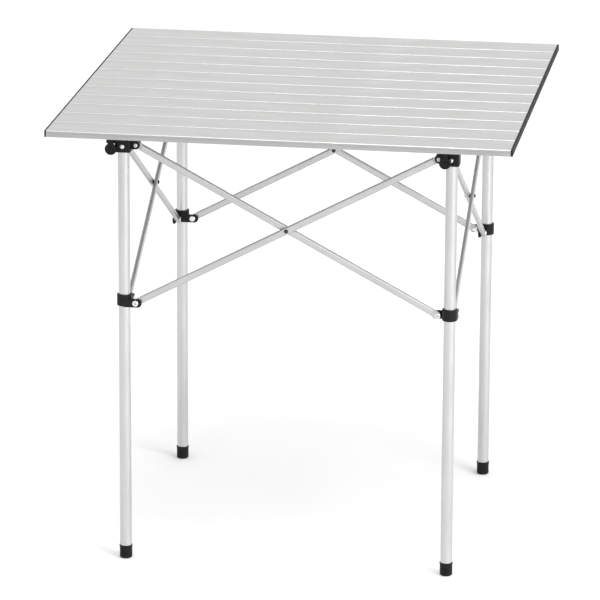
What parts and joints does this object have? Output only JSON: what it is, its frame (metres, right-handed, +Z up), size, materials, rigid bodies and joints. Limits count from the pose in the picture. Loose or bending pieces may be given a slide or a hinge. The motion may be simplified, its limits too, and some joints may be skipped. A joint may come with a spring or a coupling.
{
  "type": "folding picnic table",
  "caption": "Square roll-top camping table: a flat slatted metal top on straight tube legs that scissor bars on all sides fold together.",
  "frame": {"origin": "on the ground, under the middle of the tabletop", "axes": "+Z up, +X to the right along the slats, +Y from the front to the back across the slats"},
  "size_m": [0.7, 0.7, 0.7],
  "materials": {
    "top_aluminium": "fine brushed, clear anodised",
    "leg_aluminium": "satin, clear anodised",
    "bar_aluminium": "satin, clear anodised",
    "rivet_steel": "plain, lightly polished",
    "rivet_black": "black oxide, satin",
    "bracket_plastic": "moulded, fine texture",
    "foot_plastic": "moulded, fine texture",
    "cap_plastic": "moulded, fine texture"
  },
  "bodies": {
    "front_left_leg": {"leg_front_left": "leg_aluminium", "foot_front_left": "foot_plastic", "top_bracket_front_left": "bracket_plastic", "top_rivet_front_left": "rivet_steel", "top_rivet_left_front": "rivet_steel"},
    "front_left_slider": {"slider_front_left": "bracket_plastic", "slider_rivet_front_left": "rivet_steel", "slider_rivet_left_front": "rivet_steel"},
    "front_left_latch": {"latch_front_left": "bracket_plastic"},
    "front_right_leg": {"leg_front_right": "leg_aluminium", "foot_front_right": "foot_plastic", "top_bracket_front_right": "bracket_plastic", "top_rivet_front_right": "rivet_steel", "top_rivet_right_front": "rivet_steel"},
    "front_right_slider": {"slider_front_right": "bracket_plastic", "slider_rivet_front_right": "rivet_steel", "slider_rivet_right_front": "rivet_steel"},
    "front_right_latch": {"latch_front_right": "bracket_plastic"},
    "back_right_leg": {"leg_back_right": "leg_aluminium", "foot_back_right": "foot_plastic", "top_bracket_back_right": "bracket_plastic", "top_rivet_right_back": "rivet_steel", "top_rivet_back_right": "rivet_steel"},
    "back_right_slider": {"slider_back_right": "bracket_plastic", "slider_rivet_right_back": "rivet_steel", "slider_rivet_back_right": "rivet_steel"},
    "back_right_latch": {"latch_back_right": "bracket_plastic"},
    "back_left_leg": {"leg_back_left": "leg_aluminium", "foot_back_left": "foot_plastic", "top_bracket_back_left": "bracket_plastic", "top_rivet_back_left": "rivet_steel", "top_rivet_left_back": "rivet_steel"},
    "back_left_slider": {"slider_back_left": "bracket_plastic", "slider_rivet_back_left": "rivet_steel", "slider_rivet_left_back": "rivet_steel"},
    "back_left_latch": {"latch_back_left": "bracket_plastic"},
    "front_outer_bar": {"bar_front_outer": "bar_aluminium", "cross_rivet_front": "rivet_black"},
    "front_inner_bar": {"bar_front_inner": "bar_aluminium"},
    "right_outer_bar": {"bar_right_outer": "bar_aluminium", "cross_rivet_right": "rivet_black"},
    "right_inner_bar": {"bar_right_inner": "bar_aluminium"},
    "back_outer_bar": {"bar_back_outer": "bar_aluminium", "cross_rivet_back": "rivet_black"},
    "back_inner_bar": {"bar_back_inner": "bar_aluminium"},
    "left_outer_bar": {"bar_left_outer": "bar_aluminium", "cross_rivet_left": "rivet_black"},
    "left_inner_bar": {"bar_left_inner": "bar_aluminium"},
    "slat_01": {"slat_01": "top_aluminium"},
    "slat_02": {"slat_02": "top_aluminium"},
    "slat_03": {"slat_03": "top_aluminium"},
    "slat_04": {"slat_04": "top_aluminium"},
    "slat_05": {"slat_05": "top_aluminium"},
    "slat_06": {"slat_06": "top_aluminium"},
    "slat_07": {"slat_07": "top_aluminium"},
    "slat_08": {"slat_08": "top_aluminium"},
    "slat_09": {"slat_09": "top_aluminium"},
    "slat_10": {"slat_10": "top_aluminium"},
    "slat_11": {"slat_11": "top_aluminium"},
    "slat_12": {"slat_12": "top_aluminium"}
  },
  "joints": [
    {"name": "frame_fold", "type": "hinge", "parent": "front_left_leg", "child": "front_inner_bar", "pos_m": [-0.2305, -0.249, 0.658], "axis": [0, 1, 0], "range_deg": [0, 57]},
    {"name": "front_cross", "type": "hinge", "parent": "front_inner_bar", "child": "front_outer_bar", "pos_m": [0, -0.249, 0.535], "axis": [0, 1, 0], "range_deg": [-114.01, 0]},
    {"name": "front_right_leg_hinge", "type": "hinge", "parent": "front_outer_bar", "child": "front_right_leg", "pos_m": [0.2305, -0.249, 0.658], "axis": [0, 1, 0], "range_deg": [0, 57.01]},
    {"name": "front_left_slider_hinge", "type": "hinge", "parent": "front_outer_bar", "child": "front_left_slider", "pos_m": [-0.2305, -0.249, 0.412], "axis": [0, 1, 0], "range_deg": [0, 57.01]},
    {"name": "front_right_slider_hinge", "type": "hinge", "parent": "front_inner_bar", "child": "front_right_slider", "pos_m": [0.2305, -0.249, 0.412], "axis": [0, 1, 0], "range_deg": [-57.01, 0]},
    {"name": "left_outer_hinge", "type": "hinge", "parent": "front_left_leg", "child": "left_outer_bar", "pos_m": [-0.249, -0.2305, 0.658], "axis": [-1, 0, 0], "range_deg": [0, 57.01]},
    {"name": "left_cross", "type": "hinge", "parent": "left_outer_bar", "child": "left_inner_bar", "pos_m": [-0.249, 0, 0.535], "axis": [-1, 0, 0], "range_deg": [-114.01, 0]},
    {"name": "back_left_leg_hinge", "type": "hinge", "parent": "left_inner_bar", "child": "back_left_leg", "pos_m": [-0.249, 0.2305, 0.658], "axis": [-1, 0, 0], "range_deg": [0, 57.01]},
    {"name": "back_left_slider_hinge", "type": "hinge", "parent": "left_outer_bar", "child": "back_left_slider", "pos_m": [-0.249, 0.2305, 0.412], "axis": [-1, 0, 0], "range_deg": [-57.01, 0]},
    {"name": "right_inner_hinge", "type": "hinge", "parent": "front_right_leg", "child": "right_inner_bar", "pos_m": [0.249, -0.2305, 0.658], "axis": [-1, 0, 0], "range_deg": [0, 57.01]},
    {"name": "right_cross", "type": "hinge", "parent": "right_inner_bar", "child": "right_outer_bar", "pos_m": [0.249, 0, 0.535], "axis": [-1, 0, 0], "range_deg": [-114.01, 0]},
    {"name": "back_right_leg_hinge", "type": "hinge", "parent": "right_outer_bar", "child": "back_right_leg", "pos_m": [0.249, 0.2305, 0.658], "axis": [-1, 0, 0], "range_deg": [0, 57.01]},
    {"name": "back_right_slider_hinge", "type": "hinge", "parent": "right_inner_bar", "child": "back_right_slider", "pos_m": [0.249, 0.2305, 0.412], "axis": [-1, 0, 0], "range_deg": [-57.01, 0]},
    {"name": "back_outer_hinge", "type": "hinge", "parent": "back_left_leg", "child": "back_outer_bar", "pos_m": [-0.2305, 0.249, 0.658], "axis": [0, 1, 0], "range_deg": [0, 57.01]},
    {"name": "back_cross", "type": "hinge", "parent": "back_outer_bar", "child": "back_inner_bar", "pos_m": [0, 0.249, 0.535], "axis": [0, 1, 0], "range_deg": [-114.01, 0]},
    {"name": "top_lift", "type": "slide", "parent": "front_left_leg", "child": "slat_06", "axis": [0, 0, 1], "range_m": [0, 1.05]},
    {"name": "slat_hinge_05_06", "type": "hinge", "parent": "slat_06", "child": "slat_05", "pos_m": [0, -0.05838, 0.69], "axis": [1, 0, 0], "range_deg": [0, 82]},
    {"name": "slat_hinge_04_05", "type": "hinge", "parent": "slat_05", "child": "slat_04", "pos_m": [0, -0.11675, 0.69], "axis": [1, 0, 0], "range_deg": [0, 22]},
    {"name": "slat_hinge_03_04", "type": "hinge", "parent": "slat_04", "child": "slat_03", "pos_m": [0, -0.17513, 0.69], "axis": [1, 0, 0], "range_deg": [0, 53.01]},
    {"name": "slat_hinge_02_03", "type": "hinge", "parent": "slat_03", "child": "slat_02", "pos_m": [0, -0.2335, 0.69], "axis": [1, 0, 0], "range_deg": [0, 37.01]},
    {"name": "slat_hinge_01_02", "type": "hinge", "parent": "slat_02", "child": "slat_01", "pos_m": [0, -0.29187, 0.69], "axis": [1, 0, 0], "range_deg": [0, 46]},
    {"name": "slat_hinge_06_07", "type": "hinge", "parent": "slat_06", "child": "slat_07", "pos_m": [0, 0, 0.69], "axis": [-1, 0, 0], "range_deg": [0, 9.01]},
    {"name": "slat_hinge_07_08", "type": "hinge", "parent": "slat_07", "child": "slat_08", "pos_m": [0, 0.05838, 0.69], "axis": [-1, 0, 0], "range_deg": [0, 66]},
    {"name": "slat_hinge_08_09", "type": "hinge", "parent": "slat_08", "child": "slat_09", "pos_m": [0, 0.11675, 0.69], "axis": [-1, 0, 0], "range_deg": [0, 49.01]},
    {"name": "slat_hinge_09_10", "type": "hinge", "parent": "slat_09", "child": "slat_10", "pos_m": [0, 0.17513, 0.69], "axis": [-1, 0, 0], "range_deg": [0, 63.01]},
    {"name": "slat_hinge_10_11", "type": "hinge", "parent": "slat_10", "child": "slat_11", "pos_m": [0, 0.2335, 0.69], "axis": [-1, 0, 0], "range_deg": [0, 62]},
    {"name": "slat_hinge_11_12", "type": "hinge", "parent": "slat_11", "child": "slat_12", "pos_m": [0, 0.29187, 0.69], "axis": [-1, 0, 0], "range_deg": [0, 89]},
    {"name": "front_left_latch_hinge", "type": "hinge", "parent": "front_left_leg", "child": "front_left_latch", "pos_m": [-0.2655, -0.2668, 0.6836], "axis": [-1, 0, 0], "range_deg": [0, 85]},
    {"name": "front_right_latch_hinge", "type": "hinge", "parent": "front_right_leg", "child": "front_right_latch", "pos_m": [0.2405, -0.2668, 0.6836], "axis": [-1, 0, 0], "range_deg": [0, 85]},
    {"name": "back_right_latch_hinge", "type": "hinge", "parent": "back_right_leg", "child": "back_right_latch", "pos_m": [0.2655, 0.2668, 0.6836], "axis": [1, 0, 0], "range_deg": [0, 85]},
    {"name": "back_left_latch_hinge", "type": "hinge", "parent": "back_left_leg", "child": "back_left_latch", "pos_m": [-0.2405, 0.2668, 0.6836], "axis": [1, 0, 0], "range_deg": [0, 85]}
  ],
  "couplings": [
    {"joint": "front_cross", "follows": "frame_fold", "ratio": -2},
    {"joint": "front_right_leg_hinge", "follows": "frame_fold", "ratio": 1},
    {"joint": "front_left_slider_hinge", "follows": "frame_fold", "ratio": 1},
    {"joint": "front_right_slider_hinge", "follows": "frame_fold", "ratio": -1},
    {"joint": "left_outer_hinge", "follows": "frame_fold", "ratio": 1},
    {"joint": "left_cross", "follows": "frame_fold", "ratio": -2},
    {"joint": "back_left_leg_hinge", "follows": "frame_fold", "ratio": 1},
    {"joint": "back_left_slider_hinge", "follows": "frame_fold", "ratio": -1},
    {"joint": "right_inner_hinge", "follows": "frame_fold", "ratio": 1},
    {"joint": "right_cross", "follows": "frame_fold", "ratio": -2},
    {"joint": "back_right_leg_hinge", "follows": "frame_fold", "ratio": 1},
    {"joint": "back_right_slider_hinge", "follows": "frame_fold", "ratio": -1},
    {"joint": "back_outer_hinge", "follows": "frame_fold", "ratio": 1},
    {"joint": "back_cross", "follows": "frame_fold", "ratio": -2},
    {"joint": "slat_hinge_05_06", "follows": "top_lift", "rad_per_m": 1.363},
    {"joint": "slat_hinge_04_05", "follows": "top_lift", "rad_per_m": 0.36569},
    {"joint": "slat_hinge_03_04", "follows": "top_lift", "rad_per_m": 0.88098},
    {"joint": "slat_hinge_02_03", "follows": "top_lift", "rad_per_m": 0.61502},
    {"joint": "slat_hinge_01_02", "follows": "top_lift", "rad_per_m": 0.76462},
    {"joint": "slat_hinge_06_07", "follows": "top_lift", "rad_per_m": 0.1496},
    {"joint": "slat_hinge_07_08", "follows": "top_lift", "rad_per_m": 1.0971},
    {"joint": "slat_hinge_08_09", "follows": "top_lift", "rad_per_m": 0.81449},
    {"joint": "slat_hinge_09_10", "follows": "top_lift", "rad_per_m": 1.0472},
    {"joint": "slat_hinge_10_11", "follows": "top_lift", "rad_per_m": 1.0306},
    {"joint": "slat_hinge_11_12", "follows": "top_lift", "rad_per_m": 1.4794}
  ]
}
